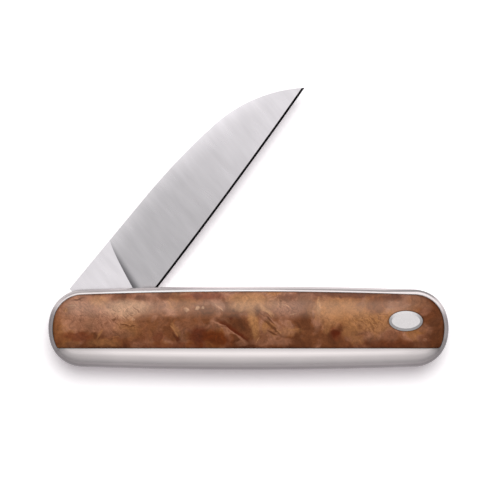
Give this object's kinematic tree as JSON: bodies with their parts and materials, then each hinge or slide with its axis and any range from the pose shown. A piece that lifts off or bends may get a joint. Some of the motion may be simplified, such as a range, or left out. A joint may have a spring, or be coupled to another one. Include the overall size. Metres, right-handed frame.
{
  "type": "folding pocket knife",
  "caption": "Slip-joint folding pocket knife with a flat-ground drop-spine blade, rounded steel side frames, inlaid burl wood scales and a plain oval shield.",
  "frame": {"origin": "centre of the handle on its flat rear face, where it lies on the table", "axes": "+X along the handle from the pivot end to the butt, +Y towards the blade slot, +Z out of the front face"},
  "size_m": [0.089, 0.0629, 0.0109],
  "materials": {
    "frame_steel": "fine bead-blasted satin",
    "burl_wood": "oiled and buffed, semi-gloss",
    "dowel_brass": "plain turned",
    "shield_steel": "polished",
    "blade_steel": "satin, ground across the blade",
    "bushing_steel": "ground",
    "washer_bronze": "lapped",
    "fastener_steel": "plain turned",
    "spring_steel": "satin"
  },
  "bodies": {
    "handle": {"front_frame": "frame_steel", "rear_frame": "frame_steel", "front_scale": "burl_wood", "rear_scale": "burl_wood", "front_scale_dowels": "dowel_brass", "rear_scale_dowels": "dowel_brass", "shield": "shield_steel", "shield_pins": "shield_steel", "front_pivot_washer": "washer_bronze", "rear_pivot_washer": "washer_bronze", "pivot_barrel": "fastener_steel", "front_pivot_screw": "fastener_steel", "rear_pivot_screw": "fastener_steel", "back_spring": "spring_steel", "spring_centre_pin": "fastener_steel", "rear_post": "fastener_steel", "front_post_screw": "fastener_steel", "rear_post_screw": "fastener_steel"},
    "blade": {"blade": "blade_steel", "pivot_bushing": "bushing_steel"}
  },
  "joints": [
    {"name": "blade_pivot", "type": "hinge", "parent": "handle", "child": "blade", "pos_m": [-0.0357, 0, 0.0053], "axis": [0, 0, 1], "range_deg": [-47.1, 129.6], "deforming": ["back_spring"]}
  ]
}
